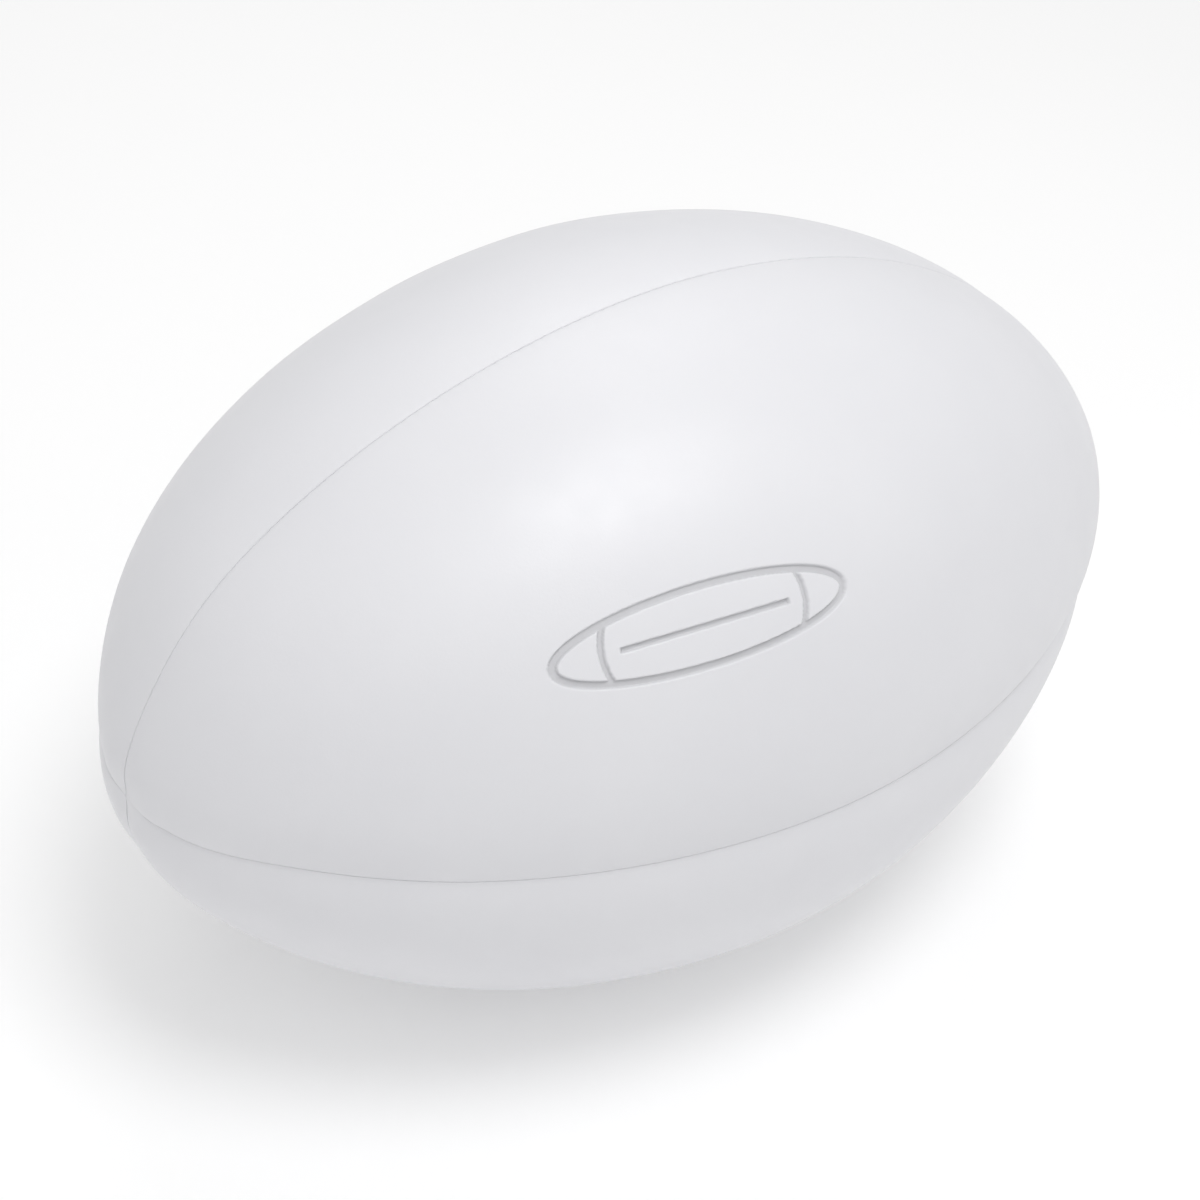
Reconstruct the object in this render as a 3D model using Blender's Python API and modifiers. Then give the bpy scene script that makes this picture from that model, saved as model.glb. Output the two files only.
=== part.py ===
"""Rugby ball, size 5: four laminated panels sewn edge to edge round an inflated bladder.

Metres, +Z up. The origin is the ball's centre and +X runs along its length. The four seams lie in
the XY and XZ planes, so the panels face the diagonals between Y and Z. Every panel is a rubber
cover on three cloth plies, and all four layers turn inward at the seams as sewing allowances.
"""

import math

import bmesh
import bpy
from mathutils import Vector

# Overall shape
HALF_LENGTH = 0.145
HALF_WIDTH = 0.0940
END_FULLNESS = 1.90
END_BLUNTNESS = 1.84
SEAM_DIP = 0.044
SEAM_DIP_SHARPNESS = 0.90

# Layers, from the outside in
GAP = 0.00033
COVER_THICKNESS = 0.0012
COVER_GLUE_LINE = 0.00050
PLY_THICKNESS = 0.0004
PLY_NAMES = ("outer_ply", "middle_ply", "inner_ply")
ALLOWANCE_DEPTH = 0.0075
BLADDER_THICKNESS = 0.0006
BLADDER_DEPTH = 0.0048
BLADDER_GROOVE_DEPTH = 0.0098
BLADDER_GROOVE_FLOOR = 0.0052
BLADDER_GROOVE_TOP = 0.0120
WIDEST_GROOVE_FLOOR = math.radians(12)
WIDEST_GROOVE_TOP = math.radians(19)

# Stitching
THREAD_RADIUS = 0.0004
THREAD_DEPTH = 0.0056
THREAD_TIE_DEPTH = 0.0086
THREAD_END_RADIUS = 0.015
THREAD_END_SPACING = 0.1

# Valve, which stands in the middle of the top back panel
STEM_RADIUS = 0.0040
STEM_CLEARANCE = 0.0004
STEM_RECESS = 0.0005
FLANGE_RADIUS = 0.0090
FLANGE_THICKNESS = 0.0012
BARREL_RADIUS = 0.0048
BARREL_LENGTH = 0.0110
BORE_RADIUS = 0.0023
PLUG_RADIUS = 0.0020
PLUG_END_LIP = 0.0032
NEEDLE_HOLE_RADIUS = 0.0006
NEEDLE_HOLE_DEPTH = 0.0090
PATCH_RADIUS = 0.0100
PATCH_THICKNESS = 0.0007
PATCH_GAP = 0.00035
VALVE_CUTTER_LENGTH = 0.03

# Facets
STATIONS = 19
COLUMNS = 7
TURNED_STEPS = 24
HALF_SEAM_GAP = GAP / 2
QUARTER = math.pi / 2
MERGE = 0.00001
SMALLEST_THETA = 0.0001
HALVINGS = 50
CORNER_PASSES = 12

PANEL_TURNS = {"top_back": 0, "top_front": 1, "bottom_front": 2, "bottom_back": 3}
SEAM_TURNS = {"back": 0, "top": 1, "front": 2, "bottom": 3}
VALVE_PANEL = "top_back"


def remove_everything():
    for item in list(bpy.data.objects):
        bpy.data.objects.remove(item, do_unlink=True)


def collection(name):
    made = bpy.data.collections.new(name)
    bpy.context.scene.collection.children.link(made)
    return made


def material(name, colour, roughness):
    made = bpy.data.materials.new(name)
    made.use_nodes = True
    shader = made.node_tree.nodes["Principled BSDF"]
    shader.inputs["Base Color"].default_value = (*colour, 1.0)
    shader.inputs["Roughness"].default_value = roughness
    shader.inputs["Metallic"].default_value = 0.0
    return made


def profile(theta, depth):
    """The ball's profile at a depth below its surface: x, radius, and the inward normal there.

    theta runs from 0 at the -X tip to pi at the +X tip.
    """
    along = math.cos(theta)
    fill = 1.0 - abs(along) ** END_FULLNESS
    radius = HALF_WIDTH * fill ** (1.0 / END_BLUNTNESS)
    run = HALF_LENGTH * math.sin(theta)
    rise = radius / fill * END_FULLNESS / END_BLUNTNESS
    rise *= math.copysign(abs(along) ** (END_FULLNESS - 1.0), along) * math.sin(theta)
    inward = Vector((rise, -run)).normalized()
    return -HALF_LENGTH * along + depth * inward.x, radius + depth * inward.y, inward


def seam_dip(theta, angle):
    """How far the surface lies under a round section, at an angle from one of its seams."""
    radius = profile(theta, 0.0)[1]
    return SEAM_DIP * radius * (1.0 - abs(math.sin(2.0 * angle))) ** SEAM_DIP_SHARPNESS


def first_theta(depth, radius):
    """The theta near the -X tip where the profile at this depth has this radius."""
    low = SMALLEST_THETA
    high = QUARTER
    for _ in range(HALVINGS):
        middle = (low + high) / 2
        if profile(middle, depth)[1] < radius:
            low = middle
        else:
            high = middle
    return high


def thetas(start):
    """Evenly spread thetas from start at one tip to the same place at the other."""
    return [start + (math.pi - 2 * start) * i / STATIONS for i in range(STATIONS + 1)]


def panel_section(theta, depth):
    """One section of a panel layer's outer face, from one allowance's edge to the other's."""
    clear = HALF_SEAM_GAP + depth
    x, radius, inward = profile(theta, depth)
    corner = math.pi / 4
    for _ in range(CORNER_PASSES):
        reach = radius - seam_dip(theta, corner)
        corner = math.asin(min(clear / reach, math.sqrt(0.5)))
    face = []
    for j in range(COLUMNS + 1):
        angle = corner + (QUARTER - 2 * corner) * j / COLUMNS
        reach = radius - seam_dip(theta, angle)
        face.append(Vector((x, reach * math.cos(angle), reach * math.sin(angle))))
    turn_in = ALLOWANCE_DEPTH - depth
    first = face[0] + Vector((turn_in * inward.x, turn_in * inward.y, 0.0))
    last = face[-1] + Vector((turn_in * inward.x, 0.0, turn_in * inward.y))
    return [first, *face, last]


def panel_mesh(name, depth):
    """The open outer face of a panel layer, lofted from tip to tip, with its allowances."""
    clear = HALF_SEAM_GAP + depth
    start = first_theta(depth, math.sqrt(2) * clear)
    stations = thetas(start)
    mesh = bmesh.new()
    rings = [[mesh.verts.new(p) for p in panel_section(t, depth)] for t in stations[1:-1]]
    x = abs(profile(start, depth)[0])
    for sign, ring in ((-1, rings[0]), (1, rings[-1])):
        tip = mesh.verts.new((sign * x, clear, clear))
        tail = mesh.verts.new((sign * (x - ALLOWANCE_DEPTH + depth), clear, clear))
        fan = [[tail, tip, ring[1], ring[0]], [tip, tail, ring[-1], ring[-2]]]
        fan += [[tip, ring[j + 1], ring[j]] for j in range(1, len(ring) - 2)]
        for corners in fan:
            mesh.faces.new(corners if sign < 0 else corners[::-1])
    for near, far in zip(rings, rings[1:]):
        for j in range(len(near) - 1):
            mesh.faces.new((near[j], near[j + 1], far[j + 1], far[j]))
    bmesh.ops.recalc_face_normals(mesh, faces=mesh.faces)
    outward = Vector((0.0, 1.0, 1.0))
    middle = max(mesh.faces, key=lambda face: face.calc_center_median().dot(outward))
    if middle.normal.dot(outward) < 0:
        bmesh.ops.reverse_faces(mesh, faces=mesh.faces)
    made = bpy.data.meshes.new(name)
    mesh.to_mesh(made)
    mesh.free()
    return made


def place(name, data, group, surface, turn=0.0):
    made = bpy.data.objects.new(name, data)
    group.objects.link(made)
    made.rotation_euler = (turn, 0.0, 0.0)
    if surface and not data.materials:
        data.materials.append(surface)
    return made


def thicken(piece, thickness):
    shell = piece.modifiers.new("thickness", "SOLIDIFY")
    shell.thickness = thickness
    shell.offset = -1.0
    shell.use_even_offset = True
    shell.use_quality_normals = True


def cut(piece, cutter):
    hole = piece.modifiers.new("valve_hole", "BOOLEAN")
    hole.operation = "DIFFERENCE"
    hole.solver = "EXACT"
    hole.object = cutter


def panel_layer(layer, depth, thickness, surface, group, cutter):
    """The same layer of all four panels."""
    data = panel_mesh(layer, depth)
    for side, turn in PANEL_TURNS.items():
        piece = place(f"{layer}_{side}", data, group, surface, turn * QUARTER)
        thicken(piece, thickness)
        if side == VALVE_PANEL:
            cut(piece, cutter)


def bladder_depth(radius, angle):
    """The bladder lies close under the panels, and deeper where the allowances press into it."""
    from_seam = radius * min(math.sin(angle), math.cos(angle))
    part = (from_seam - BLADDER_GROOVE_FLOOR) / (BLADDER_GROOVE_TOP - BLADDER_GROOVE_FLOOR)
    part = min(max(part, 0.0), 1.0)
    return BLADDER_GROOVE_DEPTH + part * (BLADDER_DEPTH - BLADDER_GROOVE_DEPTH)


def bladder_angles(radius):
    """The bladder's columns in one quarter: both sides of a seam's groove, then the open panel."""
    floor = min(math.asin(min(BLADDER_GROOVE_FLOOR / radius, 1.0)), WIDEST_GROOVE_FLOOR)
    top = min(math.asin(min(BLADDER_GROOVE_TOP / radius, 1.0)), WIDEST_GROOVE_TOP)
    inner = [QUARTER * j / COLUMNS for j in range(2, COLUMNS - 1)]
    return [floor, top, *inner, QUARTER - top, QUARTER - floor]


def bladder(group, surface, cutter):
    """A closed bag of even thickness, open only where the valve's stem passes through it."""
    mesh = bmesh.new()
    rings = []
    for theta in thetas(0.0)[1:-1]:
        ring = []
        for turn in PANEL_TURNS.values():
            for angle in bladder_angles(profile(theta, BLADDER_DEPTH)[1]):
                outer = profile(theta, 0.0)[1]
                x, radius, _ = profile(theta, bladder_depth(outer, angle))
                reach = radius - seam_dip(theta, angle)
                whole = angle + turn * QUARTER
                ring.append(mesh.verts.new((x, reach * math.cos(whole), reach * math.sin(whole))))
        rings.append(ring)
    count = len(rings[0])
    for near, far in zip(rings, rings[1:]):
        for j in range(count):
            mesh.faces.new((near[j], near[(j + 1) % count], far[(j + 1) % count], far[j]))
    for sign, ring in ((-1, rings[0]), (1, rings[-1])):
        pole = mesh.verts.new((sign * (HALF_LENGTH - BLADDER_GROOVE_DEPTH), 0.0, 0.0))
        for j in range(count):
            mesh.faces.new((ring[j], ring[(j + 1) % count], pole))
    bmesh.ops.recalc_face_normals(mesh, faces=mesh.faces)
    data = bpy.data.meshes.new("bladder")
    mesh.to_mesh(data)
    mesh.free()
    piece = place("bladder", data, group, surface)
    thicken(piece, BLADDER_THICKNESS)
    cut(piece, cutter)


def seam_thread(side, turn, group, surface):
    """One seam's thread: a line on either side of the two allowances, tied at the tips."""
    beside = HALF_SEAM_GAP + inner_depth() + GAP + THREAD_RADIUS
    start = first_theta(THREAD_DEPTH, THREAD_END_RADIUS)
    first = start + THREAD_END_SPACING
    between = [theta for theta in thetas(0.0) if first < theta < math.pi - first]
    along = [start, *between, math.pi - start]
    near_line = []
    for theta in along:
        x, radius, _ = profile(theta, THREAD_DEPTH)
        near_line.append(Vector((x, radius - seam_dip(theta, 0.0), beside)))
    ends = []
    for theta in (along[-1], along[0]):
        x, radius, _ = profile(theta, THREAD_TIE_DEPTH)
        drop = radius - seam_dip(theta, 0.0)
        ends.append((Vector((x, drop, beside)), Vector((x, drop, -beside))))
    far_line = [Vector((p.x, p.y, -p.z)) for p in reversed(near_line)]
    points = [*near_line, *ends[0], *far_line, ends[1][1], ends[1][0]]
    data = bpy.data.curves.new(f"seam_thread_{side}", "CURVE")
    data.dimensions = "3D"
    line = data.splines.new("POLY")
    line.points.add(len(points) - 1)
    for slot, point in zip(line.points, points):
        slot.co = (*point, 1.0)
    line.use_cyclic_u = True
    data.bevel_depth = THREAD_RADIUS
    data.bevel_resolution = 1
    data.use_fill_caps = True
    place(data.name, data, group, surface, turn * QUARTER)


def inner_depth():
    """Depth of the innermost ply's inner face."""
    plies = len(PLY_NAMES) * PLY_THICKNESS + (len(PLY_NAMES) - 1) * GAP
    return COVER_THICKNESS + COVER_GLUE_LINE + plies


def flat_height(depth):
    """Height over the centre of the flat facet in the middle of a panel, at a depth below it."""
    start = first_theta(depth, math.sqrt(2) * (HALF_SEAM_GAP + depth))
    middle = panel_section(thetas(start)[STATIONS // 2], depth)[1 + COLUMNS // 2]
    return (middle.y + middle.z) / math.sqrt(2)


def turned(name, points, group, surface):
    """A solid of revolution about the valve's axis; the profile runs down its outer side."""
    data = bpy.data.meshes.new(name)
    closed = points[0][0] > 0.0
    edges = [(i, i + 1) for i in range(len(points) - 1)]
    if closed:
        edges.append((len(points) - 1, 0))
    data.from_pydata([(radius, 0.0, height) for radius, height in points], edges, [])
    data.update()
    piece = place(name, data, group, surface)
    piece.rotation_euler = (-QUARTER / 2, 0.0, 0.0)
    spin = piece.modifiers.new("turn", "SCREW")
    spin.axis = "Z"
    spin.angle = 2 * math.pi
    spin.steps = TURNED_STEPS
    spin.render_steps = TURNED_STEPS
    spin.use_merge_vertices = True
    spin.merge_threshold = MERGE
    spin.use_smooth_shade = False
    return piece


def valve_cutter(group):
    """The round hole that the stem passes through in every layer of its panel and the bladder."""
    radius = STEM_RADIUS + STEM_CLEARANCE
    bpy.ops.mesh.primitive_cylinder_add(
        vertices=TURNED_STEPS, radius=radius, depth=VALVE_CUTTER_LENGTH
    )
    cutter = bpy.context.object
    cutter.name = "valve_hole_cutter"
    cutter.rotation_euler = (-QUARTER / 2, 0.0, 0.0)
    cutter.location = Vector((0.0, 1.0, 1.0)).normalized() * HALF_WIDTH
    cutter.hide_render = True
    cutter.display_type = "WIRE"
    for home in list(cutter.users_collection):
        home.objects.unlink(cutter)
    group.objects.link(cutter)
    return cutter


def valve(group, rubber, plug_rubber, cloth):
    """The housing is fixed in the bladder, and the plug that seals it is pushed in from outside."""
    top = flat_height(0.0) - STEM_RECESS
    shelf = flat_height(BLADDER_DEPTH + BLADDER_THICKNESS) - GAP
    foot = shelf - FLANGE_THICKNESS
    end = foot - BARREL_LENGTH
    housing = (
        (BORE_RADIUS, top),
        (STEM_RADIUS, top),
        (STEM_RADIUS, shelf),
        (FLANGE_RADIUS, shelf),
        (FLANGE_RADIUS, foot),
        (BARREL_RADIUS, foot),
        (BARREL_RADIUS, end),
        (BORE_RADIUS, end),
    )
    turned("valve_housing", housing, group, rubber)
    plug_top = top - GAP
    plug_end = end - GAP
    plug = (
        (0.0, plug_top - NEEDLE_HOLE_DEPTH),
        (NEEDLE_HOLE_RADIUS, plug_top - NEEDLE_HOLE_DEPTH),
        (NEEDLE_HOLE_RADIUS, plug_top),
        (PLUG_RADIUS, plug_top),
        (PLUG_RADIUS, plug_end),
        (PLUG_END_LIP, plug_end),
        (PLUG_RADIUS, plug_end - PLUG_END_LIP),
        (0.0, plug_end - PLUG_END_LIP),
    )
    turned("valve_plug", plug, group, plug_rubber)
    hole = STEM_RADIUS + STEM_CLEARANCE
    patch_top = flat_height(inner_depth()) - PATCH_GAP
    patch = (
        (hole, patch_top),
        (PATCH_RADIUS, patch_top),
        (PATCH_RADIUS, patch_top - PATCH_THICKNESS),
        (hole, patch_top - PATCH_THICKNESS),
    )
    turned("valve_patch", patch, group, cloth)


def main():
    remove_everything()
    ball = collection("rugby_ball")
    cutters = collection("cutters")
    white = material("cover_rubber", (0.86, 0.86, 0.88), 0.45)
    plies = {
        "outer_ply": material("polyester_outer", (0.80, 0.78, 0.70), 0.85),
        "middle_ply": material("cotton_middle", (0.74, 0.66, 0.50), 0.90),
        "inner_ply": material("polyester_inner", (0.80, 0.78, 0.70), 0.85),
    }
    bag = material("bladder_rubber", (0.05, 0.05, 0.05), 0.40)
    housing = material("valve_housing_rubber", (0.10, 0.10, 0.10), 0.50)
    plug = material("valve_plug_rubber", (0.75, 0.74, 0.70), 0.50)
    patch = material("patch_cloth", (0.62, 0.55, 0.42), 0.90)
    cord = material("waxed_thread", (0.82, 0.80, 0.74), 0.60)

    cutter = valve_cutter(cutters)
    panel_layer("cover", 0.0, COVER_THICKNESS, white, ball, cutter)
    depth = COVER_THICKNESS + COVER_GLUE_LINE
    for name in PLY_NAMES:
        panel_layer(name, depth, PLY_THICKNESS, plies[name], ball, cutter)
        depth += PLY_THICKNESS + GAP
    bladder(ball, bag, cutter)
    for side, turn in SEAM_TURNS.items():
        seam_thread(side, turn, ball, cord)
    valve(ball, housing, plug, patch)


main()
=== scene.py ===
"""The looks of a size 5 rugby ball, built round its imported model.

Metres, in the model's own frame: +X along the ball, the seams in the XY and XZ planes, and the
valve in the middle of the panel that faces between +Y and +Z.
"""

import math

import bpy
import numpy as np
from mathutils import Matrix, Vector


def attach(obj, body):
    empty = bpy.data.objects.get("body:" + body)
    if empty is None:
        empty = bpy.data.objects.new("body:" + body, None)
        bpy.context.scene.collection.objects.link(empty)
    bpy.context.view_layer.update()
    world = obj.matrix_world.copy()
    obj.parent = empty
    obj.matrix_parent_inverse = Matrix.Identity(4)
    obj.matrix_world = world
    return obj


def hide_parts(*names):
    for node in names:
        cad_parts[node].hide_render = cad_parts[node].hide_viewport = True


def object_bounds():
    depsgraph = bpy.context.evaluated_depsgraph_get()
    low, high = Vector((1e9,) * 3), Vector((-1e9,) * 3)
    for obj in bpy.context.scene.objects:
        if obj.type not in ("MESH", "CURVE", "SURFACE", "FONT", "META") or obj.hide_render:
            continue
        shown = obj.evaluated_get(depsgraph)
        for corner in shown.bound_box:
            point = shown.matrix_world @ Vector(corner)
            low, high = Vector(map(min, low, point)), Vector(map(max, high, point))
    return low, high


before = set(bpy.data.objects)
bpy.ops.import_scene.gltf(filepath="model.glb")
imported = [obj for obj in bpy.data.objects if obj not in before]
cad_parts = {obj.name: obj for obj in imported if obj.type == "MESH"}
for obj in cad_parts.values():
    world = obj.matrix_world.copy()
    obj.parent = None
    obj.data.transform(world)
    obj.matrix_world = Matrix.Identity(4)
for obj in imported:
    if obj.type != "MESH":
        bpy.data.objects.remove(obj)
cad_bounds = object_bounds()

MM = 0.001

# Overall shape, from the frame
WIDTH_TO_LENGTH = 0.648
HALF_LENGTH = (cad_bounds[1][0] - cad_bounds[0][0]) / 2
HALF_WIDTH = WIDTH_TO_LENGTH * HALF_LENGTH
FLOOR_HEIGHT = cad_bounds[0][2]
END_FULLNESS = 1.90
END_BLUNTNESS = 1.84
SEAM_DIP_SHARPNESS = 0.90
SMALLEST_THETA = 1e-4
HALVINGS = 50

# Layers, from the outside in
HALF_SEAM_GAP = 0.015 * MM
COVER_THICKNESS = 1.2 * MM
COVER_GLUE_LINE = 0.5 * MM
PLY_THICKNESS = 0.4 * MM
PLY_GAP = 0.33 * MM
ALLOWANCE_DEPTH = 7.5 * MM
BLADDER_DEPTH = 4.8 * MM
BLADDER_THICKNESS = 0.6 * MM
BLADDER_GROOVE_DEPTH = 9.8 * MM
BLADDER_GROOVE_FLOOR = 5.2 * MM
BLADDER_GROOVE_TOP = 12.0 * MM
BLADDER_END_THETA = 0.12
FOLD_STEPS = (0.33, 1.0)
START_CLEARANCE = 1.02

# Fine shape of the seams, tips and panels
VALLEY_FADE_RADIUS = 14.5 * MM
BEAD_PLACE = 0.9 * MM
BEAD_WIDTH = 0.45 * MM
BEAD_WAVE = 12 * MM
PUCKER_PITCH = 3.3 * MM
PUCKER_REACH = 1.4 * MM
PUCKER_DRIFT = 1.2
PUCKER_DRIFT_WAVE = 40 * MM
PUCKER_SIZE_WAVE = 25 * MM
TIP_DIMPLE_DEPTH = 1.6 * MM
TIP_DIMPLE_RADIUS = 7.0 * MM
TIP_DROOP = (-1.58 * MM, -3.28 * MM)
TIP_DROOP_REACH = 14.8 * MM
UNEVENNESS = 0.02 * MM
UNEVEN_WAVES = 6
SHORTEST_WAVE = 22.0 * MM
LONGEST_WAVE = 60.0 * MM
SWELL_REACH = 0.38
PANEL_SWELL = {"top_back": (0.85, 0.8 * MM), "bottom_front": (1.85, 1.3 * MM)}

# Stitching
THREAD_RADIUS = 0.4 * MM
THREAD_DEPTH = 5.6 * MM
THREAD_TIE_DEPTH = 8.6 * MM
THREAD_END_RADIUS = 15.0 * MM
THREAD_BESIDE = 4.46 * MM
STITCH_LENGTH = 6.0 * MM
STITCH_RISE = 0.22 * MM
STITCH_LAG = 0.6
TIE_HALF_WIDTH = 3.6 * MM
TIE_POINTS = 12
CORNER_PASSES = 3
TWIST_PITCH = 3.0 * MM
STRAND_HOLLOW = 0.20

# Motif pressed into the front panel
MOTIF_CENTRE = (-40.0 * MM, 9.5 * MM)
MOTIF_HALF_LENGTH = 34.0 * MM
MOTIF_HALF_HEIGHT = 8.6 * MM
MOTIF_TILT = math.radians(4.0)
MOTIF_STROKE = 1.45 * MM
MOTIF_DEPTH = 0.85 * MM
MOTIF_BEVEL = 0.26 * MM
MOTIF_BAND = 0.62
MOTIF_BAND_BEND = 0.08
MOTIF_LINE_GAP = 0.06
MOTIF_INNER_STROKE = 0.7
# Painted shade in the motif's pressed lines
MOTIF_PAINTED_SHADE = 0.45
# How far the painted shade in the seam creases reaches from each seam
CREASE_PAINTED_SHADE_REACH = 0.2 * MM

# Valve
BORE_RADIUS = 2.3 * MM
BORE_RIM_WIDTHS = (0.75 * MM, 0.9 * MM, 1.05 * MM)
BORE_RIM_GROOVE = 0.18 * MM
STEM_RADIUS = 4.0 * MM
BARREL_RADIUS = 4.8 * MM
BARREL_LENGTH = 11.0 * MM
FLANGE_RADIUS = 9.0 * MM
FLANGE_THICKNESS = 1.2 * MM
PLUG_RADIUS = 2.0 * MM
PLUG_HEAD_RADIUS = 3.2 * MM
PLUG_HEAD_LENGTH = 3.2 * MM
PLUG_GAP = 0.33 * MM
NEEDLE_RADIUS = 0.6 * MM
NEEDLE_FUNNEL_RADIUS = 1.1 * MM
NEEDLE_FUNNEL_DEPTH = 0.2 * MM
NEEDLE_DEPTH = 9.0 * MM
VALVE_ROUNDING = 0.2 * MM
VALVE_HOLE_RADIUS = 4.4 * MM
VALVE_DISH_RADIUS = 11.0 * MM
VALVE_DISH_DEPTH = 0.5 * MM
VALVE_LIP = 0.8 * MM
VALVE_LIP_DROP = 0.6
VALVE_LIP_STEEPNESS = 0.98
VALVE_TOP = 92.32 * MM
VALVE_SHELF = 87.30 * MM
VALVE_CUTTER_LENGTH = 30 * MM
PATCH_RADIUS = 10.0 * MM
PATCH_TOP = HALF_WIDTH - 4.16 * MM
PATCH_THICKNESS = 0.6 * MM
LONG_RADIUS = 220.0 * MM

# Fineness of the meshes
COVER_STATIONS = 480
PLAIN_COLUMNS = 100
FINE_COLUMNS = 170
INSIDE_COLUMNS = 21
PLY_STATIONS = 181
PLY_COLUMNS = 33
BLADDER_STATIONS = 161
BLADDER_COLUMNS = 240
THREAD_STATIONS = 560
THREAD_SIDES = 14
ROUND_SIDES = 96
CORNER_STEPS = 4
GRADING_STEPS = 4001

# Camera
CAMERA_AZIMUTH = -41.33
CAMERA_ELEVATION = 39.13
CAMERA_ROLL = 8.26
CAMERA_DISTANCE = 4.0 * HALF_LENGTH
CAMERA_ASIDE = -0.0583 * HALF_LENGTH
CAMERA_RAISED = -0.0206 * HALF_LENGTH
CAMERA_LENS = 68.06

# Studio
FLOOR_SIZE = 60.0
FLOOR_GLOW = 0.235
FAR_FLOOR_GLOW = 0.12
FLOOR_FADE = (0.9, 4.0)
SURROUND_STRENGTH = 0.53

QUARTER = math.pi / 2
PANEL_TURNS = {"top_back": 0, "top_front": 1, "bottom_front": 2, "bottom_back": 3}
SEAM_TURNS = {"back": 0, "top": 1, "front": 2, "bottom": 3}

# What sets each seam apart, in the order of SEAM_TURNS
SEAM_DIPS = (0.044, 0.020, 0.0455, 0.044)
VALLEY_DEPTHS = (1.0 * MM, 0.2 * MM, 1.6 * MM, 1.0 * MM)
VALLEY_REACHES = (3.0 * MM, 1.6 * MM, 7.0 * MM, 3.0 * MM)
EDGE_ROLLS = (0.22 * MM, 0.22 * MM, 0.06 * MM, 0.22 * MM)
BEAD_HEIGHTS = (0.10 * MM, 0.03 * MM, 0.03 * MM, 0.10 * MM)
PUCKER_DEPTHS = (0.14 * MM, 0.14 * MM, 0.05 * MM, 0.14 * MM)
# Painted shade in each seam's crease, from 0 to 1
CREASE_PAINTED_SHADE = (0.10, 0.14, 0.0, 0.10)

PLIES = ("outer_ply", "middle_ply", "inner_ply")
VALVE_PANEL = "top_back"
MOTIF_PANEL = "top_front"


# ---------------------------------------------------------------- shape


def profile(theta, depth):
    """x and radius of the ball's profile at a depth under its surface, for arrays of theta."""
    along = np.cos(theta)
    fill = 1.0 - np.abs(along) ** END_FULLNESS
    radius = HALF_WIDTH * fill ** (1.0 / END_BLUNTNESS)
    run = HALF_LENGTH * np.sin(theta)
    rise = radius / fill * END_FULLNESS / END_BLUNTNESS
    rise = rise * np.sign(along) * np.abs(along) ** (END_FULLNESS - 1.0) * np.sin(theta)
    size = np.hypot(rise, run)
    return -HALF_LENGTH * along + depth * rise / size, radius - depth * run / size


def seam_dip(theta, angle):
    """How far the surface lies under a round section, at an angle right round the ball."""
    radius = profile(theta, 0.0)[1]
    nearest = np.round(np.asarray(angle) / QUARTER).astype(int) % 4
    share = (1.0 - np.abs(np.sin(2.0 * angle))) ** SEAM_DIP_SHARPNESS
    return np.array(SEAM_DIPS)[nearest] * radius * share


def first_theta(depth, radius):
    """The theta near the -X tip where the profile at this depth has this radius."""
    low = SMALLEST_THETA
    high = QUARTER
    for _ in range(HALVINGS):
        middle = (low + high) / 2
        if profile(middle, depth)[1] < radius:
            low = middle
        else:
            high = middle
    return high


def graded(count, weight):
    """count + 1 values from 0 to 1 that lie closest together where weight is largest."""
    fine = np.linspace(0.0, 1.0, GRADING_STEPS)
    total = np.concatenate([[0.0], np.cumsum((weight(fine)[1:] + weight(fine)[:-1]) / 2)])
    return np.interp(np.linspace(0.0, total[-1], count + 1), total, fine)


def ripple(position, seed, pitch, octaves=3):
    """A smooth random line along a seam, between -1 and 1."""
    dice = np.random.default_rng(seed)
    total = np.zeros_like(position)
    for octave in range(octaves):
        wave = pitch / 2**octave
        shift = dice.uniform(0.0, 2 * math.pi, 2)
        total += np.sin(position / wave * 2 * math.pi + shift[0]) / 2**octave * 0.6
        total += np.sin(position / wave * 2 * math.pi * 0.618 + shift[1]) / 2**octave * 0.4
    return total / 2


def valley_relief(turn, theta, angle):
    """The shallow valleys that every layer of a panel follows along its two seams."""
    radius = profile(theta, 0.0)[1]
    fade = np.clip(radius / VALLEY_FADE_RADIUS, 0.0, 1.0)
    total = 0.0 * angle
    for seam, away in ((turn, angle), ((turn + 1) % 4, QUARTER - angle)):
        total = total + VALLEY_DEPTHS[seam] * np.exp(-radius * away / VALLEY_REACHES[seam])
    return total * fade


def edge_relief(seam, theta, from_seam):
    """The rolled edge beside a seam, the bead behind it and the stitches' puckers."""
    fade = np.clip(profile(theta, 0.0)[1] / VALLEY_FADE_RADIUS, 0.0, 1.0)
    edge = EDGE_ROLLS[seam]
    inside = np.clip(edge - from_seam, 0.0, edge)
    roll = edge - np.sqrt(np.maximum(edge**2 - inside**2, 0.0))
    along = theta * HALF_LENGTH
    drift = PUCKER_DRIFT * ripple(along, seam * 10, PUCKER_DRIFT_WAVE)
    wave = 0.5 + 0.5 * np.cos(along / PUCKER_PITCH * 2 * math.pi + drift)
    size = 0.65 + 0.35 * ripple(along, seam * 10 + 1, PUCKER_SIZE_WAVE)
    pucker = PUCKER_DEPTHS[seam] * size * wave * np.exp(-from_seam / PUCKER_REACH)
    bead = BEAD_HEIGHTS[seam] * np.exp(-(((from_seam - BEAD_PLACE) / BEAD_WIDTH) ** 2))
    bead = bead * (0.7 + 0.3 * ripple(along, seam * 10 + 2, BEAD_WAVE))
    return roll + (pucker - bead) * fade


def tip_relief(theta):
    """The tips are drawn in where the four panels' points meet."""
    radius = profile(theta, 0.0)[1]
    return TIP_DIMPLE_DEPTH * np.exp(-((radius / TIP_DIMPLE_RADIUS) ** 2))


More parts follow.
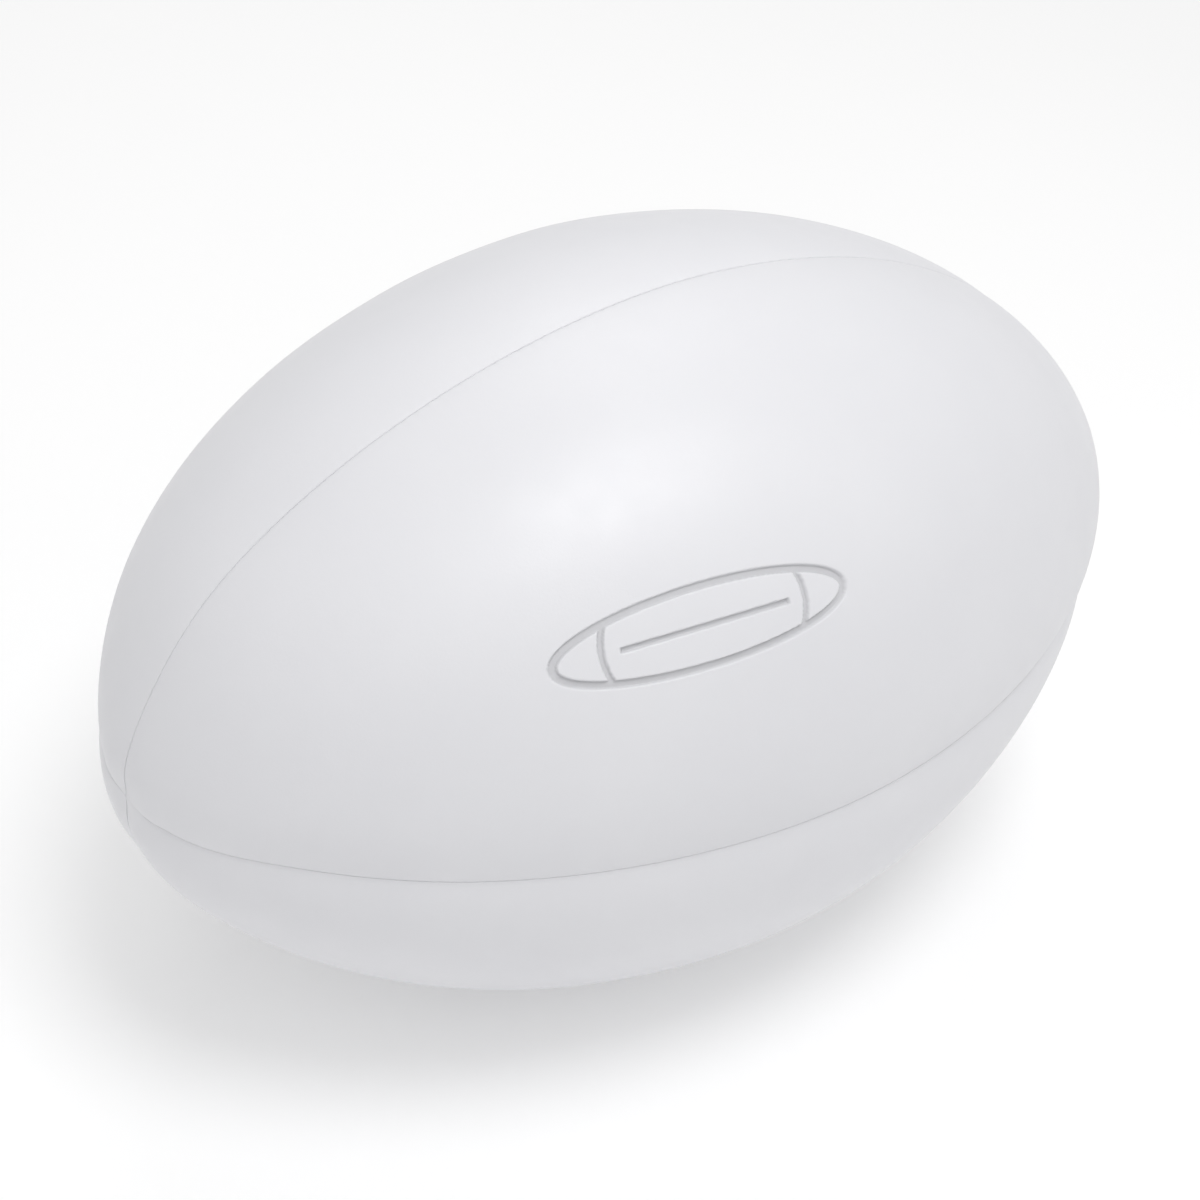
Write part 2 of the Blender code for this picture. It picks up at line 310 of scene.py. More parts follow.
def swell_relief(side, theta, angle):
    """Panels don't fill out quite alike: some bulge a little more than the others."""
    if side not in PANEL_SWELL:
        return 0.0 * angle
    middle, height = PANEL_SWELL[side]
    return -height * np.exp(-(((theta - middle) / SWELL_REACH) ** 2)) * np.sin(2 * angle) ** 2


def uneven_relief(x, across, seed):
    """Long, very low waves left by the hand lamination."""
    dice = np.random.default_rng(seed)
    total = 0.0 * across
    for _ in range(UNEVEN_WAVES):
        heading = dice.uniform(0.0, math.pi)
        wave = dice.uniform(SHORTEST_WAVE, LONGEST_WAVE)
        shift = dice.uniform(0.0, 2 * math.pi)
        run = x * math.cos(heading) + across * math.sin(heading)
        total = total + np.sin(run / wave * 2 * math.pi + shift)
    return UNEVENNESS * total


def dish_relief(x, across):
    """The whole panel is pressed in a little round the valve."""
    part = np.clip(1.0 - np.hypot(x, across) / VALVE_DISH_RADIUS, 0.0, 1.0)
    return VALVE_DISH_DEPTH * part * part * (3 - 2 * part)


def lip_relief(x, across):
    """The cover's edge is rounded at the valve's hole."""
    away = np.hypot(x, across)
    near = np.clip((VALVE_HOLE_RADIUS + VALVE_LIP - away) / VALVE_LIP, 0.0, 1.0)
    return VALVE_LIP * VALVE_LIP_DROP * (1.0 - np.sqrt(1.0 - near**2 * VALVE_LIP_STEEPNESS))


def layer_relief(side, theta, angle):
    """The broad relief that every layer of one panel shares."""
    shape = tip_relief(theta) + swell_relief(side, theta, angle)
    shape = shape + valley_relief(PANEL_TURNS[side], theta, angle)
    if side == VALVE_PANEL:
        x, radius = profile(theta, 0.0)
        shape = shape + dish_relief(x, radius * (angle - QUARTER / 2))
    return shape


def pressed_line(distance, stroke):
    """Depth of a pressed line with soft shoulders, at a distance from its middle."""
    part = np.clip((stroke / 2 + MOTIF_BEVEL - distance) / MOTIF_BEVEL, 0.0, 1.0)
    return part * part * (3 - 2 * part)


def motif_lines(x, across):
    """A plain ball sign: an oval, a line along its middle and a band near each end."""
    dx = x - MOTIF_CENTRE[0]
    dy = across - MOTIF_CENTRE[1]
    u = (dx * math.cos(MOTIF_TILT) + dy * math.sin(MOTIF_TILT)) / MOTIF_HALF_LENGTH
    v = (dy * math.cos(MOTIF_TILT) - dx * math.sin(MOTIF_TILT)) / MOTIF_HALF_HEIGHT
    inside = u * u + v * v
    steep = 2 * np.hypot(u / MOTIF_HALF_LENGTH, v / MOTIF_HALF_HEIGHT) + 1e-6
    oval = np.abs(inside - 1.0) / steep
    bend = MOTIF_BAND + MOTIF_BAND_BEND * (1.0 - v * v)
    band = np.abs(np.abs(u) - bend) * MOTIF_HALF_LENGTH
    past_end = (np.abs(u) - MOTIF_BAND + MOTIF_LINE_GAP) * MOTIF_HALF_LENGTH
    middle = np.maximum(np.abs(v) * MOTIF_HALF_HEIGHT, past_end)
    inner = np.where(inside < 1.0, np.minimum(middle, band), MOTIF_HALF_LENGTH)
    inner = pressed_line(inner, MOTIF_STROKE * MOTIF_INNER_STROKE)
    return np.maximum(pressed_line(oval, MOTIF_STROKE), inner)


def droop(points):
    """The near tip hangs a little, because the ball's panels aren't pulled quite evenly there."""
    reach = np.exp(-(((points[..., 0] + HALF_LENGTH) / TIP_DROOP_REACH) ** 2))
    points[..., 1] += TIP_DROOP[0] * reach
    points[..., 2] += TIP_DROOP[1] * reach
    return points


def turned(points, turn):
    """Points turned about the ball's length by a number of quarter turns, then drooped."""
    cosine = round(math.cos(turn * QUARTER))
    sine = round(math.sin(turn * QUARTER))
    y = points[..., 1] * cosine - points[..., 2] * sine
    z = points[..., 1] * sine + points[..., 2] * cosine
    return droop(np.stack([points[..., 0], y, z], axis=-1))


def panel_sheet(turn, depth, stations, columns, relief):
    """Points of one face of a panel layer, from allowance to allowance and from tip to tip."""
    clear = HALF_SEAM_GAP + depth
    start = first_theta(depth, math.sqrt(2) * clear * START_CLEARANCE)
    theta = (start + (math.pi - 2 * start) * stations)[:, None]
    radius = profile(theta, depth)[1]
    corners = []
    for seam in (turn, turn + 1):
        reach = radius - seam_dip(theta, seam * QUARTER)
        corners.append(np.arcsin(np.minimum(clear / reach, math.sqrt(0.5))))
    low, high = corners
    angle = low + (QUARTER - low - high) * columns[None, :]
    from_seam = radius * np.minimum(angle - low, QUARTER - high - angle)
    x, reach = profile(theta, depth + relief(theta + 0 * angle, angle, from_seam))
    reach = reach - seam_dip(theta, angle + turn * QUARTER)
    y = np.maximum(reach * np.cos(angle), clear)
    z = np.maximum(reach * np.sin(angle), clear)
    y[:, -1] = clear
    z[:, 0] = clear
    face = np.stack([x, y, z], axis=-1)
    deep_x, deep_reach = profile(theta[:, 0], ALLOWANCE_DEPTH)
    flat = np.full_like(deep_x, clear)
    edges = []
    for side, fold in ((0, face[:, 0]), (1, face[:, -1])):
        deep = np.maximum(deep_reach - seam_dip(theta[:, 0], (turn + side) * QUARTER), clear)
        end = (deep_x, deep, flat) if side == 0 else (deep_x, flat, deep)
        edges.append([fold + (np.stack(end, -1) - fold) * part for part in FOLD_STEPS])
    near = [row[:, None] for row in reversed(edges[0])]
    far = [row[:, None] for row in edges[1]]
    return np.concatenate([*near, face, *far], axis=1)


def mesh_piece(name, points, faces, surface, weave=None, painted_shade=None):
    """A smooth mesh object; weave gives each point's place on the flat cloth, in metres.

    The last argument gives, from 0 to 1, how much painted shade darkens each point.
    """
    data = bpy.data.meshes.new(name)
    data.from_pydata(points.reshape(-1, 3).tolist(), [], faces)
    data.update()
    data.shade_smooth()
    if weave is not None:
        layer = data.uv_layers.new(name="weave")
        corners = np.empty(len(data.loops), dtype=np.int64)
        data.loops.foreach_get("vertex_index", corners)
        layer.uv.foreach_set("vector", weave.reshape(-1, 2)[corners].ravel())
    if painted_shade is not None:
        # Painted shade per point, which the cover's material reads to darken its colour.
        data.attributes.new("painted_shade", "FLOAT", "POINT").data.foreach_set("value", painted_shade.ravel())
    data.materials.append(surface)
    piece = bpy.data.objects.new(name, data)
    bpy.context.scene.collection.objects.link(piece)
    return piece


def grid_faces(index, closed):
    """Quads between the neighbours of a grid of point numbers, closed round its second axis."""
    if closed:
        index = np.concatenate([index, index[:, :1]], axis=1)
    corners = [index[:-1, :-1], index[:-1, 1:], index[1:, 1:], index[1:, :-1]]
    return np.stack(corners, -1).reshape(-1, 4).tolist()


def closed_loft(name, outer, inner, turn, surface, painted_shade=None):
    """A closed shell between two sheets with the same number of stations."""
    rings = np.concatenate([outer, inner[:, ::-1]], axis=1)
    index = np.arange(rings.shape[0] * rings.shape[1]).reshape(rings.shape[:2])
    faces = grid_faces(index, True) + [index[0][::-1].tolist(), index[-1].tolist()]
    around = np.cumsum(np.linalg.norm(np.diff(rings, axis=1, prepend=rings[:, :1]), axis=-1), axis=1)
    weave = np.stack([rings[..., 0], around], axis=-1)
    # Painted shade: full on the turned-in edge at the panel's first seam, none on the other turned-in
    # edge or the inside.
    if painted_shade is not None:
        rest = np.zeros((rings.shape[0], rings.shape[1] - painted_shade.shape[1] - len(FOLD_STEPS)))
        fold = np.ones((rings.shape[0], len(FOLD_STEPS)))
        painted_shade = np.concatenate([fold, painted_shade, rest], axis=1)
    return mesh_piece(name, turned(rings, turn), faces, surface, weave, painted_shade)


def stands_for(piece, node):
    """Puts a piece in the place of one of the model's nodes."""
    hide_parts(node)
    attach(piece, "root")


# ---------------------------------------------------------------- materials


class Nodes:
    """A short way to write a material's nodes."""

    def __init__(self, name):
        self.material = bpy.data.materials.new(name)
        self.material.use_nodes = True
        self.tree = self.material.node_tree
        self.shader = self.tree.nodes["Principled BSDF"]
        self.place = self.add("ShaderNodeTexCoord").outputs["Object"]

    def add(self, kind, **values):
        """A new node with its settings."""
        node = self.tree.nodes.new(kind)
        for key, value in values.items():
            setattr(node, key, value)
        return node

    def link(self, source, target):
        """Leads one node's output into another's input."""
        self.tree.links.new(source, target)

    def noise(self, size, detail=4.0, rough=0.55, distortion=0.0):
        """Noise whose blotches are about size metres across."""
        node = self.add("ShaderNodeTexNoise")
        self.link(self.place, node.inputs["Vector"])
        node.inputs["Scale"].default_value = 1.0 / size
        node.inputs["Detail"].default_value = detail
        node.inputs["Roughness"].default_value = rough
        node.inputs["Distortion"].default_value = distortion
        return node.outputs["Fac"]

    def remap(self, source, low, high, start=0.3, end=0.7):
        """The range from start to end stretched to the range from low to high."""
        node = self.add("ShaderNodeMapRange")
        self.link(source, node.inputs["Value"])
        node.inputs["From Min"].default_value = start
        node.inputs["From Max"].default_value = end
        node.inputs["To Min"].default_value = low
        node.inputs["To Max"].default_value = high
        return node.outputs["Result"]

    def blend(self, factor, first, second):
        """A mix of two colours, each a plain colour or another node's output."""
        node = self.add("ShaderNodeMix", data_type="RGBA")
        self.link(factor, node.inputs["Factor"])
        for name, colour in (("A", first), ("B", second)):
            socket = [s for s in node.inputs if s.name == name and s.type == "RGBA"][0]
            if isinstance(colour, tuple):
                socket.default_value = (*colour, 1.0)
            else:
                self.link(colour, socket)
        return [s for s in node.outputs if s.type == "RGBA"][0]

    def weave_map(self, pitch):
        """The cloth's own flat coordinates, counted in threads."""
        source = self.add("ShaderNodeUVMap", uv_map="weave").outputs["UV"]
        node = self.add("ShaderNodeMapping")
        self.link(source, node.inputs["Vector"])
        node.inputs["Scale"].default_value = (1.0 / pitch, 1.0 / pitch, 1.0)
        return node.outputs["Vector"]

    def bands(self, place, axis):
        """Round threads side by side, one to each unit of place."""
        node = self.add("ShaderNodeTexWave", wave_type="BANDS", bands_direction=axis)
        self.link(place, node.inputs["Vector"])
        node.inputs["Scale"].default_value = math.pi / 10
        node.inputs["Distortion"].default_value = 0.0
        return node.outputs["Fac"]

    def checker(self, place):
        """0 and 1 by turns, as the threads of a plain weave cross."""
        node = self.add("ShaderNodeTexChecker")
        self.link(place, node.inputs["Vector"])
        node.inputs["Scale"].default_value = 1.0
        return node.outputs["Fac"]

    def mix(self, factor, first, second):
        """A mix of two values."""
        node = self.add("ShaderNodeMix", data_type="FLOAT")
        for name, source in (("Factor", factor), ("A", first), ("B", second)):
            socket = [s for s in node.inputs if s.name == name and s.type == "VALUE"][0]
            self.link(source, socket)
        return [s for s in node.outputs if s.type == "VALUE"][0]

    def bump(self, height, distance, strength=1.0, below=None):
        """Relief of this depth in metres, laid over the relief below it."""
        node = self.add("ShaderNodeBump")
        node.inputs["Strength"].default_value = strength
        node.inputs["Distance"].default_value = distance
        self.link(height, node.inputs["Height"])
        if below is not None:
            self.link(below, node.inputs["Normal"])
        return node.outputs["Normal"]


def cover_material():
    """Matte white rubber compound: a fine moulded grain, cloudy sheen, faint scuffs, and painted
    shade in the seam creases and the pressed motif.
    """
    n = Nodes("white_rubber_cover")
    cloud = n.noise(45 * MM, detail=3)
    speck = n.noise(1.6 * MM, detail=6)
    # Painted shade in the seam creases and the pressed motif comes from the mesh attribute and
    # darkens the colour towards grey.
    painted_shade_amount = n.add("ShaderNodeAttribute", attribute_name="painted_shade").outputs["Fac"]
    tint = n.blend(n.remap(cloud, 0.0, 1.0), (0.735, 0.735, 0.762), (0.755, 0.755, 0.780))
    tint = n.blend(n.remap(speck, 0.0, 0.05, 0.62, 0.80), tint, (0.70, 0.69, 0.70))
    tint = n.blend(n.remap(painted_shade_amount, 0.0, 0.75, 0.0, 1.0), tint, (0.30, 0.30, 0.31))
    n.link(tint, n.shader.inputs["Base Color"])
    n.link(n.remap(n.noise(8 * MM), 0.35, 0.43), n.shader.inputs["Roughness"])
    n.shader.inputs["Specular IOR Level"].default_value = 0.45
    broad = n.bump(n.noise(3.2 * MM, detail=3), 0.05 * MM, 0.5)
    fine = n.bump(n.noise(0.6 * MM, detail=5, rough=0.6), 0.032 * MM, 0.9, broad)
    n.link(fine, n.shader.inputs["Normal"])
    return n.material


def cloth_material(name, light, dark, pitch):
    """Plain-woven cloth with a thin, patchy coat of dried latex."""
    n = Nodes(name)
    place = n.weave_map(pitch)
    over = n.checker(place)
    threads = n.mix(over, n.bands(place, "X"), n.bands(place, "Y"))
    latex = n.noise(9 * MM, detail=5)
    shade = n.blend(n.remap(threads, 0.0, 1.0, 0.0, 1.0), dark, light)
    shade = n.blend(n.remap(n.noise(30 * MM), 0.0, 0.35), shade, dark)
    n.link(shade, n.shader.inputs["Base Color"])
    n.link(n.remap(latex, 0.62, 0.93), n.shader.inputs["Roughness"])
    n.shader.inputs["Sheen Weight"].default_value = 0.25
    weave = n.bump(threads, 0.12 * MM, 0.9)
    fuzz = n.bump(n.noise(0.35 * MM, detail=4), 0.03 * MM, 0.6, weave)
    n.link(fuzz, n.shader.inputs["Normal"])
    return n.material


def bladder_material():
    """Black latex with a trace of mould talc and shallow flow marks."""
    n = Nodes("bladder_latex")
    talc = n.remap(n.noise(14 * MM, detail=8, rough=0.65), 0.0, 0.55, 0.52, 0.72)
    tint = n.blend(talc, (0.022, 0.022, 0.024), (0.34, 0.34, 0.33))
    n.link(tint, n.shader.inputs["Base Color"])
    n.link(n.remap(n.noise(6 * MM), 0.42, 0.68), n.shader.inputs["Roughness"])
    flow = n.bump(n.noise(12 * MM, detail=3, distortion=0.8), 0.15 * MM, 0.5)
    fine = n.bump(n.noise(0.8 * MM, detail=5), 0.02 * MM, 0.7, flow)
    n.link(fine, n.shader.inputs["Normal"])
    return n.material


def thread_material():
    """Waxed polyester thread: bright filaments, wax in the hollows."""
    n = Nodes("waxed_thread")
    wax = n.noise(1.5 * MM, detail=5)
    tint = n.blend(n.remap(wax, 0.0, 1.0), (0.80, 0.77, 0.68), (0.66, 0.60, 0.47))
    n.link(tint, n.shader.inputs["Base Color"])
    n.link(n.remap(wax, 0.38, 0.62), n.shader.inputs["Roughness"])
    n.shader.inputs["Sheen Weight"].default_value = 0.2
    fibre = n.bump(n.noise(0.12 * MM, detail=4, distortion=1.5), 0.02 * MM, 0.9)
    n.link(fibre, n.shader.inputs["Normal"])
    return n.material


def moulded_material(name, light, dark, gloss, dull):
    """Moulded rubber with a fine grain, a soft bloom and handled patches."""
    n = Nodes(name)
    tint = n.blend(n.remap(n.noise(2.5 * MM, detail=6), 0.0, 1.0), dark, light)
    n.link(tint, n.shader.inputs["Base Color"])
    n.link(n.remap(n.noise(1.8 * MM), gloss, dull), n.shader.inputs["Roughness"])
    grain = n.bump(n.noise(0.3 * MM, detail=4), 0.015 * MM, 0.8)
    n.link(grain, n.shader.inputs["Normal"])
    return n.material


def floor_material():
    """Matt white studio sweep, lit from below near the ball and fading into the backdrop."""
    n = Nodes("studio_floor")
    cloud = n.noise(0.35, detail=3)
    tint = n.blend(n.remap(cloud, 0.0, 1.0), (0.765, 0.765, 0.765), (0.775, 0.775, 0.775))
    n.link(tint, n.shader.inputs["Base Color"])
    n.link(n.remap(n.noise(0.05), 0.86, 0.94), n.shader.inputs["Roughness"])
    n.shader.inputs["Specular IOR Level"].default_value = 0.1
    n.shader.inputs["Emission Color"].default_value = (1.0, 1.0, 1.0, 1.0)
    away = n.add("ShaderNodeVectorMath", operation="LENGTH")
    n.link(n.place, away.inputs[0])
    glow = n.remap(away.outputs["Value"], FLOOR_GLOW, FAR_FLOOR_GLOW, *FLOOR_FADE)
    n.link(glow, n.shader.inputs["Emission Strength"])
    return n.material


# ---------------------------------------------------------------- pieces


def window(values, low, high, edge):
    """1 between low and high, falling to 0 over edge on either side."""
    rise = np.clip((values - low) / edge + 0.5, 0.0, 1.0)
    fall = np.clip((high - values) / edge + 0.5, 0.0, 1.0)
    return rise * fall


def focus(side):
    """The part of a panel with fine detail: its limits in x and across the panel, or None."""
    if side == VALVE_PANEL:
        size = VALVE_DISH_RADIUS * 0.75
        return (-size, size, -size, size)
    if side == MOTIF_PANEL:
        x, across = MOTIF_CENTRE
        half_height = MOTIF_HALF_HEIGHT + 4.5 * MM
        half_length = MOTIF_HALF_LENGTH + 2.0 * MM
        return (x - half_length, x + half_length, across - half_height, across + half_height)
    return None


def cover_stations(side):
    """Stations along a cover panel, closest together at its fine detail."""

    def weight(values):
        x = -HALF_LENGTH * np.cos(math.pi * values)
        area = focus(side)
        if area is None:
            return np.ones_like(values)
        return 1.0 + 4.0 * window(x, area[0], area[1], 6 * MM)

    return graded(COVER_STATIONS, weight)


def cover_columns(side):
    """Columns across a cover panel, closest together at its seams and its fine detail."""

    def weight(values):
        across = (values - 0.5) * QUARTER * HALF_WIDTH
        from_seam = QUARTER * HALF_WIDTH / 2 - np.abs(across)
        dense = 1.0 + 14.0 * np.exp(-from_seam / (2.0 * MM))
        area = focus(side)
        if area is None:
            return dense
        return dense + 11.0 * window(across, area[2], area[3], 3 * MM)

    return graded(PLAIN_COLUMNS if focus(side) is None else FINE_COLUMNS, weight)


def cover_relief(side, theta, angle, from_seam):
    """Relief of a cover's outer face, and how much painted shade darkens its creases and its motif.
    """
    turn = PANEL_TURNS[side]
    next_turn = (turn + 1) % 4
    x, radius = profile(theta, 0.0)
    across = radius * (angle - QUARTER / 2)
    is_low = angle < QUARTER / 2
    low_edge = edge_relief(turn, theta, from_seam)
    high_edge = edge_relief(next_turn, theta, from_seam)
    shape = np.where(is_low, low_edge, high_edge) + layer_relief(side, theta, angle)
    shape = shape + uneven_relief(x, across, turn + 50) * np.sin(2 * angle)
    # Painted shade in the seam creases, falling off within a fraction of a millimetre of each seam.
    painted_shade = np.where(is_low, CREASE_PAINTED_SHADE[turn], CREASE_PAINTED_SHADE[next_turn])
    painted_shade = painted_shade * np.exp(-from_seam / CREASE_PAINTED_SHADE_REACH)
    if side == VALVE_PANEL:
        shape = shape + lip_relief(x, across)
    if side == MOTIF_PANEL:
        lines = motif_lines(x, across)
        shape = shape + MOTIF_DEPTH * lines
        # Painted shade in the motif's pressed lines.
        painted_shade = np.maximum(painted_shade, MOTIF_PAINTED_SHADE * lines)
    return shape, painted_shade


def cover(side, surface):
    """One cover panel: finely shaped outside, plain inside, turned in at both seams."""
    turn = PANEL_TURNS[side]
    # Collects the outer face's painted shade.
    painted_shades = []

    def outside(theta, angle, from_seam):
        shape, painted_shade = cover_relief(side, theta, angle, from_seam)
        painted_shades.append(painted_shade)
        return shape

    def inside(theta, angle, from_seam):
        return layer_relief(side, theta, angle)

    stations = cover_stations(side)
    spread = np.linspace(0.0, 1.0, INSIDE_COLUMNS)
    outer = panel_sheet(turn, 0.0, stations, cover_columns(side), outside)
    inner = panel_sheet(turn, COVER_THICKNESS, stations, spread, inside)
    piece = closed_loft(f"cover_skin_{side}", outer, inner, turn, surface, painted_shades[0])
    if side == VALVE_PANEL:
        cut_hole(piece)
    stands_for(piece, f"cover_{side}")


def cut_hole(piece):
    """Cuts the round hole for the valve's stem through a finished shell."""
    bpy.ops.mesh.primitive_cylinder_add(
        vertices=ROUND_SIDES, radius=VALVE_HOLE_RADIUS, depth=VALVE_CUTTER_LENGTH
    )
    cutter = bpy.context.object
    cutter.rotation_euler = (-QUARTER / 2, 0.0, 0.0)
    cutter.location = Vector((0.0, 1.0, 1.0)).normalized() * HALF_WIDTH
    hole = piece.modifiers.new("hole", "BOOLEAN")
    hole.operation = "DIFFERENCE"
    hole.solver = "EXACT"
    hole.object = cutter
    bpy.context.view_layer.update()
    graph = bpy.context.evaluated_depsgraph_get()
    shape = bpy.data.meshes.new_from_object(piece.evaluated_get(graph))
    piece.modifiers.clear()
    piece.data = shape
    bpy.data.objects.remove(cutter, do_unlink=True)


def covers():
    """The four panels that show."""
    surface = cover_material()
    for side in PANEL_TURNS:
        cover(side, surface)


def plies():
    """The three cloth layers behind each cover."""
    polyester = cloth_material("polyester_ply", (0.84, 0.83, 0.78), (0.62, 0.60, 0.53), 0.55 * MM)
    cotton = cloth_material("cotton_ply", (0.78, 0.70, 0.54), (0.50, 0.42, 0.29), 0.75 * MM)
    stations = np.linspace(0.0, 1.0, PLY_STATIONS)
    spread = np.linspace(0.0, 1.0, PLY_COLUMNS)
    depth = COVER_THICKNESS + COVER_GLUE_LINE
    for layer in PLIES:
        is_cotton = layer == "middle_ply"
        surface = cotton if is_cotton else polyester
        for side, turn in PANEL_TURNS.items():

            def follow(theta, angle, from_seam, side=side):
                return layer_relief(side, theta, angle)

            outer = panel_sheet(turn, depth, stations, spread, follow)
            inner = panel_sheet(turn, depth + PLY_THICKNESS, stations, spread, follow)
            piece = closed_loft(f"{layer}_cloth_{side}", outer, inner, turn, surface)
            if side == VALVE_PANEL:
                cut_hole(piece)
            stands_for(piece, f"{layer}_{side}")
        depth += PLY_THICKNESS + PLY_GAP


def bladder_skin(theta, angle, thickness):
    """Points of one face of the bladder, which is pressed in where the allowances lie on it."""
    reach = profile(theta, 0.0)[1]
    from_seam = reach * np.minimum(np.abs(np.sin(angle)), np.abs(np.cos(angle)))
    part = (from_seam - BLADDER_GROOVE_FLOOR) / (BLADDER_GROOVE_TOP - BLADDER_GROOVE_FLOOR)
    part = np.clip(part, 0.0, 1.0)
    part = part * part * (3 - 2 * part)
    depth = BLADDER_GROOVE_DEPTH + part * (BLADDER_DEPTH - BLADDER_GROOVE_DEPTH) + thickness
    x, radius = profile(theta, depth)
    radius = np.maximum(radius - seam_dip(theta, angle), 0.0)
    return droop(np.stack([x, radius * np.cos(angle), radius * np.sin(angle)], axis=-1))


def bladder():
    """A closed latex bag of even thickness, open only where the valve's stem passes."""
    theta = np.linspace(BLADDER_END_THETA, math.pi - BLADDER_END_THETA, BLADDER_STATIONS)[:, None]
    angle = np.linspace(0.0, 2 * math.pi, BLADDER_COLUMNS, endpoint=False)[None, :]
    outer = bladder_skin(theta, angle, 0.0)
    inner = bladder_skin(theta, angle, BLADDER_THICKNESS)
    index = np.arange(outer.shape[0] * outer.shape[1]).reshape(outer.shape[:2])
    count = index.size
    faces = grid_faces(index, True) + [index[0][::-1].tolist(), index[-1].tolist()]
    faces += [[number + count for number in reversed(face)] for face in faces]
    points = np.concatenate([outer.reshape(-1, 3), inner.reshape(-1, 3)])
    piece = mesh_piece("bladder_bag", points, faces, bladder_material())
    cut_hole(piece)
    stands_for(piece, "bladder")


def thread_path(seam):
    """The middle of a seam's thread: out along one side of the allowances, back along the other."""
    start = first_theta(THREAD_DEPTH, THREAD_END_RADIUS)
    theta = np.linspace(start, math.pi - start, THREAD_STATIONS)
    run = theta * HALF_LENGTH * 2 * math.pi / STITCH_LENGTH
    rise = STITCH_RISE * np.cos(run)
    x, reach = profile(theta, THREAD_DEPTH + rise)
    reach = reach - seam_dip(theta, seam * QUARTER)
    beside = THREAD_BESIDE + STITCH_RISE / 4 * (1.0 + np.cos(run + STITCH_LAG))
    near = np.stack([x, reach, beside], axis=-1)
    far = (near * np.array([1.0, 1.0, -1.0]))[::-1]
    ties = []
    for end in (theta[-1], theta[0]):
        tie_x, tie_reach = profile(end, THREAD_TIE_DEPTH)
        tie_reach = tie_reach - seam_dip(end, seam * QUARTER)
        across = np.linspace(TIE_HALF_WIDTH, -TIE_HALF_WIDTH, TIE_POINTS)
        level = np.ones(TIE_POINTS)
        ties.append(np.stack([tie_x * level, tie_reach * level, across], axis=-1))
    path = np.concatenate([near, ties[0], far, ties[1][::-1]])
    for _ in range(CORNER_PASSES):
        path = (np.roll(path, 1, 0) + 2 * path + np.roll(path, -1, 0)) / 4
    return path


def thread_points(path):
    """Two strands laid round each other along a closed path."""
    ahead = np.roll(path, -1, 0) - np.roll(path, 1, 0)
    ahead /= np.linalg.norm(ahead, axis=1, keepdims=True)
    side = np.cross(ahead, np.array([0.0, 0.3, 1.0]))
    side /= np.linalg.norm(side, axis=1, keepdims=True)
    third = np.cross(ahead, side)
    run = np.cumsum(np.linalg.norm(np.diff(path, axis=0, prepend=path[:1]), axis=1))
    turns = max(1, round(run[-1] / TWIST_PITCH))
    twist = run / run[-1] * turns * math.pi
    phase = np.linspace(0.0, 2 * math.pi, THREAD_SIDES, endpoint=False)[None, :]
    lobes = 1.0 - STRAND_HOLLOW * (1.0 - np.abs(np.cos(phase - twist[:, None])))
    radius = (THREAD_RADIUS * lobes)[..., None]
    spoke = np.cos(phase)[..., None] * side[:, None] + np.sin(phase)[..., None] * third[:, None]
    return path[:, None] + radius * spoke


def threads():
    """The stitching of the four seams."""
    surface = thread_material()
    for side, turn in SEAM_TURNS.items():
        points = thread_points(thread_path(turn))
        index = np.arange(points.shape[0] * points.shape[1]).reshape(points.shape[:2])
        faces = grid_faces(np.concatenate([index, index[:1]]), True)
        piece = mesh_piece(f"seam_stitching_{side}", turned(points, turn), faces, surface)
        stands_for(piece, f"seam_thread_{side}")


def lathe(name, outline, surface, cloth=False):
    """A solid of revolution about the valve's axis; cloth is bent to the panel's curve."""
    spin = np.linspace(0.0, 2 * math.pi, ROUND_SIDES, endpoint=False)[None, :]
    radius = np.array([point[0] for point in outline])[:, None]
    height = np.array([point[1] for point in outline])[:, None] + 0 * spin
    flat_x = radius * np.cos(spin)
    flat_y = radius * np.sin(spin)
    if cloth:
        height = height - flat_y**2 / (2 * HALF_WIDTH) - flat_x**2 / (2 * LONG_RADIUS)
    y = (height - flat_y) * math.sqrt(0.5)
    z = (height + flat_y) * math.sqrt(0.5)
    points = np.stack([flat_x, y, z], axis=-1)
    index = np.arange(points.shape[0] * ROUND_SIDES).reshape(-1, ROUND_SIDES)
    closed = np.concatenate([index, index[:1]]) if outline[0][0] > 0.0 else index
    faces = grid_faces(closed, True)
    laid = np.stack([flat_x, flat_y], axis=-1) if cloth else None
    piece = mesh_piece(name, points, faces, surface, laid)
    tidy = piece.modifiers.new("tidy", "WELD")
    tidy.merge_threshold = 0.001 * MM
    return piece


def rounded(corners, size=VALVE_ROUNDING):
    """An outline with its corners rounded off; a corner's third value scales the rounding."""
    made = []
    count = len(corners)
    for i, corner in enumerate(corners):
        here = np.array(corner[:2])
        trim = size * (corner[2] if len(corner) > 2 else 1.0)
        before = np.array(corners[i - 1][:2]) - here
        after = np.array(corners[(i + 1) % count][:2]) - here
        if trim == 0.0:
            made.append(tuple(here))
            continue
        start = here + before / np.linalg.norm(before) * trim
        end = here + after / np.linalg.norm(after) * trim
        for part in np.linspace(0.0, 1.0, CORNER_STEPS + 1):
            point = (1 - part) ** 2 * start + 2 * part * (1 - part) * here + part**2 * end
            made.append(tuple(point))
    return made


